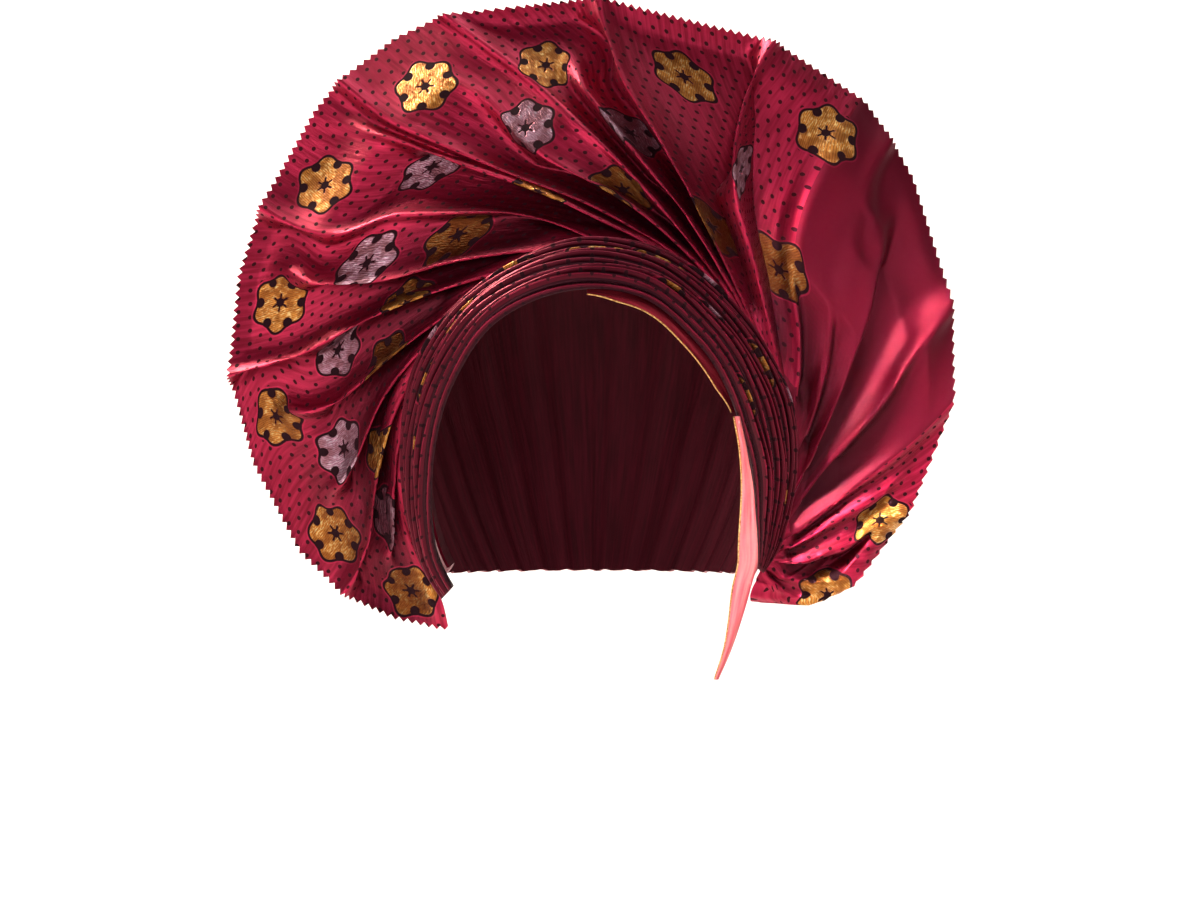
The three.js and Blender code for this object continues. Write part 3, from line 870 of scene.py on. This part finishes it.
def brocade_material():
    nodes = Nodes("brocade")
    across, along = nodes.map("cloth")
    colour, weave, crinkle = taffeta(nodes, across, along, DEEP, ROSE, shaded=True)

    # Pin dots on a staggered lattice
    rows = nodes.math("DIVIDE", along, DOT_PITCH / MM * 0.87)
    row = nodes.math("FLOOR", rows)
    shift = nodes.times(nodes.math("FLOORED_MODULO", row, 2.0), 0.5)
    cols = nodes.plus(nodes.math("DIVIDE", across, DOT_PITCH / MM), shift)
    dx = nodes.times(nodes.minus(nodes.math("FRACT", cols), 0.5), DOT_PITCH / MM)
    dy = nodes.times(nodes.minus(nodes.math("FRACT", rows), 0.5), DOT_PITCH / MM * 0.87)
    off = nodes.math("SQRT", nodes.plus(nodes.math("POWER", dx, 2.0), nodes.math("POWER", dy, 2.0)))
    dots = nodes.times(nodes.ramp(off, 1.02, 0.78), nodes.attribute("dotted"))

    # Florets: six lobes with a dark outline, a dark dot in each notch and a small star in the middle
    fx, fy = nodes.map("floret")
    radius = nodes.math("SQRT", nodes.plus(nodes.math("POWER", fx, 2.0), nodes.math("POWER", fy, 2.0)))
    angle = nodes.math("ARCTAN2", fy, fx)
    sixth = nodes.math("PINGPONG", nodes.plus(angle, math.pi), math.pi / 6)
    lobe = nodes.times(nodes.math("COSINE", nodes.times(angle, 6.0)), 1.1)
    edge = nodes.minus(radius, nodes.plus(lobe, 11.9))
    body = nodes.ramp(edge, 0.15, -0.15)
    outline = nodes.times(nodes.ramp(nodes.math("ABSOLUTE", nodes.minus(edge, 0.35)), 0.75, 0.45), 1.0)
    halo = nodes.ramp(nodes.math("ABSOLUTE", nodes.minus(edge, 1.35)), 0.45, 0.1)
    nx = nodes.minus(nodes.times(radius, nodes.math("COSINE", nodes.minus(sixth, math.pi / 6))), 10.0)
    ny = nodes.times(radius, nodes.math("SINE", nodes.minus(sixth, math.pi / 6)))
    from_dot = nodes.plus(nodes.math("POWER", nx, 2.0), nodes.math("POWER", ny, 2.0))
    notch = nodes.ramp(nodes.math("SQRT", from_dot), 2.25, 1.95)
    ray = nodes.times(radius, nodes.math("SINE", sixth))
    star = nodes.times(nodes.ramp(ray, 0.6, 0.3), nodes.ramp(radius, 4.4, 3.4))
    heart = nodes.ramp(radius, 2.1, 1.7)
    dark = nodes.math("MAXIMUM", nodes.math("MAXIMUM", outline, notch), nodes.math("MAXIMUM", star, heart))
    inside = nodes.ramp(edge, 1.9, 1.5)
    fill = nodes.times(body, nodes.minus(1.0, dark))
    silver = nodes.minus(nodes.attribute("metal"), 1.0, clamp=True)
    twill = nodes.math("SINE", nodes.times(nodes.plus(fx, fy), 2 * math.pi / 1.2))
    patch_at = nodes.join(nodes.times(fx, 0.2), nodes.times(fy, 0.2), nodes.attribute("lot"))
    patch = nodes.noise(patch_at, 1.0, 3.0)
    diagonal = nodes.plus(fx, fy)
    counter = nodes.minus(fx, fy)
    stitch = nodes.noise(nodes.join(nodes.times(diagonal, 1.1), nodes.times(counter, 0.3)), 1.0, 3.0)
    thread_colour = nodes.blend(silver, GOLD_THREAD, SILVER_THREAD)
    thread_colour = nodes.blend(nodes.times(nodes.ramp(twill, 0.3, -0.7), 0.5), thread_colour, RUST)
    thread_colour = nodes.blend(nodes.times(nodes.ramp(patch, 0.6, 0.38), 0.6), thread_colour, RUST)
    glint = nodes.times(nodes.ramp(stitch, 0.5, 0.66), nodes.ramp(patch, 0.42, 0.58))
    bright = nodes.blend(silver, GLINT, PALE_GLINT)
    thread_colour = nodes.blend(nodes.times(glint, 0.9), thread_colour, bright)

    # Painted shade on the florets' threads: they turn to the darker copies where the shade attribute times
    # lit is low.
    shown = nodes.times(nodes.attribute("shade"), nodes.attribute("lit"), clamp=True)
    thread_colour = nodes.blend(shown, nodes.blend(silver, SHADED_GOLD_THREAD, SHADED_SILVER_THREAD), thread_colour)

    dots = nodes.times(dots, nodes.minus(1.0, inside))
    colour = nodes.blend(nodes.times(dots, 0.93), colour, INK)
    colour = nodes.blend(nodes.times(halo, 0.35), colour, ROSE)
    colour = nodes.blend(nodes.times(dark, nodes.ramp(edge, 1.2, 1.0)), colour, INK)
    colour = nodes.blend(fill, colour, thread_colour)
    flat = nodes.math("MAXIMUM", dots, nodes.times(dark, nodes.ramp(edge, 1.2, 1.0)))
    normal = nodes.bump(crinkle, nodes.number(nodes.attribute("dotted"), 0.08, 0.4), 0.8 * MM)
    normal = nodes.bump(weave, 0.25, 0.12 * MM, normal)
    raised = nodes.plus(nodes.times(fill, 0.6), nodes.times(nodes.times(fill, stitch), 1.6))
    normal = nodes.bump(raised, 0.8, 0.5 * MM, normal)
    metallic = nodes.number(fill, nodes.number(flat, 0.76, 0.0), 0.9)
    rough = nodes.number(fill, nodes.number(flat, 0.34, 0.8), 0.34)
    nodes.set(Base_Color=colour, Metallic=metallic, Roughness=rough, Normal=normal,
              Specular_IOR_Level=nodes.number(flat, 0.35, 0.1))
    return nodes.material


def plain_material(name, low, high, metallic, roughness):
    nodes = Nodes(name)
    across, along = nodes.map("cloth")
    colour, weave, crinkle = taffeta(nodes, across, along, low, high)
    normal = nodes.bump(crinkle, 0.3, 0.8 * MM)
    normal = nodes.bump(weave, 0.3, 0.15 * MM, normal)
    nodes.set(Base_Color=colour, Metallic=metallic, Roughness=roughness, Normal=normal,
              Specular_IOR_Level=0.2)
    return nodes.material


def selvedge_material():
    nodes = Nodes("gold_selvedge")
    place = nodes.node("NewGeometry").outputs["Position"]
    grain = nodes.noise(place, 1800.0, 3.0)
    colour = nodes.blend(nodes.ramp(grain, 0.3, 0.7), rgb(150, 84, 40), rgb(240, 196, 120))
    nodes.set(Base_Color=colour, Metallic=0.85, Roughness=0.35, Normal=nodes.bump(grain, 0.6, 0.2 * MM))
    return nodes.material


def stage_material(name, colour):
    nodes = Nodes(name)
    grain = nodes.noise(nodes.node("NewGeometry").outputs["Position"], 3.0, 2.0)
    nodes.set(Base_Color=nodes.blend(nodes.times(grain, 0.06), colour, rgb(236, 234, 232)), Roughness=0.85)
    return nodes.material


# Assembly

def place(obj, materials, node, slot):
    """Gives a piece its materials and the node that it stands for; slot is not used."""
    for material in materials:
        obj.data.materials.append(material)
    if obj.modifiers:
        crisp_edges(obj)
    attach(obj, "root")
    if node:
        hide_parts(node)


brocade = brocade_material()
plain = plain_material("plain_taffeta", rgb(104, 8, 32), rgb(122, 12, 40), 0.6, 0.42)
# Painted shade: the inside of the cap, a hollow in shade, is a darker copy of the plain taffeta, with a
# duller finish.
inside = plain_material("plain_taffeta_inside_painted_shade", rgb(58, 4, 16), rgb(78, 7, 25), 0.3, 0.7)
edged = plain_material("edged_satin", rgb(216, 84, 96), rgb(242, 142, 140), 0.45, 0.4)
# Painted shade: a darker copy of the edged satin, for the under-wrap lying in shade.
edged_painted_shade = plain_material("edged_satin_shaded", rgb(120, 20, 36), rgb(170, 44, 60), 0.5, 0.4)
cut_edge = plain_material("cut_edge", rgb(116, 14, 38), rgb(142, 22, 52), 0.0, 0.9)
selvedge = selvedge_material()

fan, fan_size, fan_area = fan_object()
place(fan, [brocade, cut_edge], "fan", "brocade")
band, band_size, band_area = band_object()
place(band, [brocade], "front_band", "brocade")
cap, (cap_size, cap_area) = cap_object()
place(cap, [plain, inside], "crown_cap", "plain_cloth")
strip, strip_edge, (strip_size, strip_area) = under_wrap_object()
place(strip, [edged_painted_shade], "under_wrap", "edged_cloth")
strip_thread = thread("under_wrap_selvedge", strip_edge + FORWARD * 0.6 * MM, 0.3 * MM)
place(strip_thread, [selvedge], None, "edged_cloth")
tail, tail_edge, (tail_size, tail_area) = tail_object()
place(tail, [edged], "side_tail", "edged_cloth")
tail_thread = thread("hanging_end_selvedge", tail_edge + FORWARD * 0.4 * MM, 0.35 * MM)
place(tail_thread, [selvedge], None, "edged_cloth")


# Stage, lights and camera

FLOOR_DROP, FLOOR_REACH = 0.8, 9.0
BACKDROP_BACK, BACKDROP_BEND, BACKDROP_TOP = 1.5, 0.6, 2.6
bend_start = BACKDROP_BACK - BACKDROP_BEND
profile = [(-FLOOR_REACH, 0), (bend_start, 0)]
for turn in np.linspace(0, math.pi / 2, 13)[1:]:
    rise = BACKDROP_BEND - BACKDROP_BEND * math.cos(turn)
    profile.append((bend_start + BACKDROP_BEND * math.sin(turn), rise))
profile.append((BACKDROP_BACK, BACKDROP_TOP))
sweep = np.array([[(x, y, z - FLOOR_DROP) for y, z in profile] for x in (-FLOOR_REACH, FLOOR_REACH)])
floor = mesh_object("floor_sweep", sweep, grid_faces(2, len(profile)))
floor.data.materials.append(stage_material("pale_paper", rgb(248, 247, 246)))


def area_light(name, spot, target, size, power, colour, spread=180):
    """A rectangular lamp. size is in metres, power in watts and spread in degrees."""
    data = bpy.data.lights.new(name, "AREA")
    data.shape, data.size, data.size_y = "RECTANGLE", size[0], size[1]
    data.energy, data.color, data.spread = power, colour, math.radians(spread)
    lamp = bpy.data.objects.new(name, data)
    lamp.location = spot
    lamp.rotation_euler = (Vector(target) - Vector(spot)).to_track_quat("-Z", "Y").to_euler()
    bpy.context.scene.collection.objects.link(lamp)


area_light("key_above", (-0.95, 0.6, 1.05), (0, -0.02, 0.04), (0.35, 0.35), 56, (1, 0.82, 0.7))
area_light("left_soft", (-1.7, -1.3, 0.15), (-0.05, 0, 0), (0.9, 0.9), 28, (1, 0.93, 0.9))
area_light("right_soft", (1.7, -1.4, 0.1), (0.05, 0, 0), (0.9, 0.9), 11, (1, 0.92, 0.92))
area_light("front_soft", (-0.3, -2.2, 0.3), (0, 0, 0.02), (0.8, 0.8), 13, (1, 0.96, 0.98))
area_light("upper_right", (0.55, -1.2, 1.25), (0.09, 0, 0.11), (0.4, 0.4), 3, (1, 0.9, 0.9))
area_light("kicker", (0.1, -1, 1.2), (0.125, 0, -0.07), (0.1, 0.1), 0.24, (1, 0.86, 0.8), spread=6)
area_light("backdrop", (0, 0.5, 1.6), (0, 1.4, 0.1), (2.0, 0.8), 22, (1, 1, 1))

world = bpy.data.worlds.new("room")
world.use_nodes = True
background = world.node_tree.nodes["Background"]
background.inputs["Color"].default_value = (1, 0.97, 0.97, 1)
background.inputs["Strength"].default_value = 0.13
bpy.context.scene.world = world

CAMERA_DISTANCE, SENSOR_WIDTH = 1.6, 36
PHOTO_WIDTH = 0.492            # metres that the picture spans at the origin
PHOTO_ACROSS, PHOTO_UP = 0.0041, -0.0041       # where its middle lies
camera = bpy.data.objects.new("camera", bpy.data.cameras.new("camera"))
camera.data.sensor_width = SENSOR_WIDTH
camera.data.lens = SENSOR_WIDTH * CAMERA_DISTANCE / PHOTO_WIDTH
camera.location = (PHOTO_ACROSS, -CAMERA_DISTANCE, PHOTO_UP)
camera.rotation_euler = (math.pi / 2, 0, 0)
bpy.context.scene.collection.objects.link(camera)
bpy.context.scene.camera = camera
bpy.context.scene.view_settings.view_transform = "Standard"

bpy.context.view_layer.update()
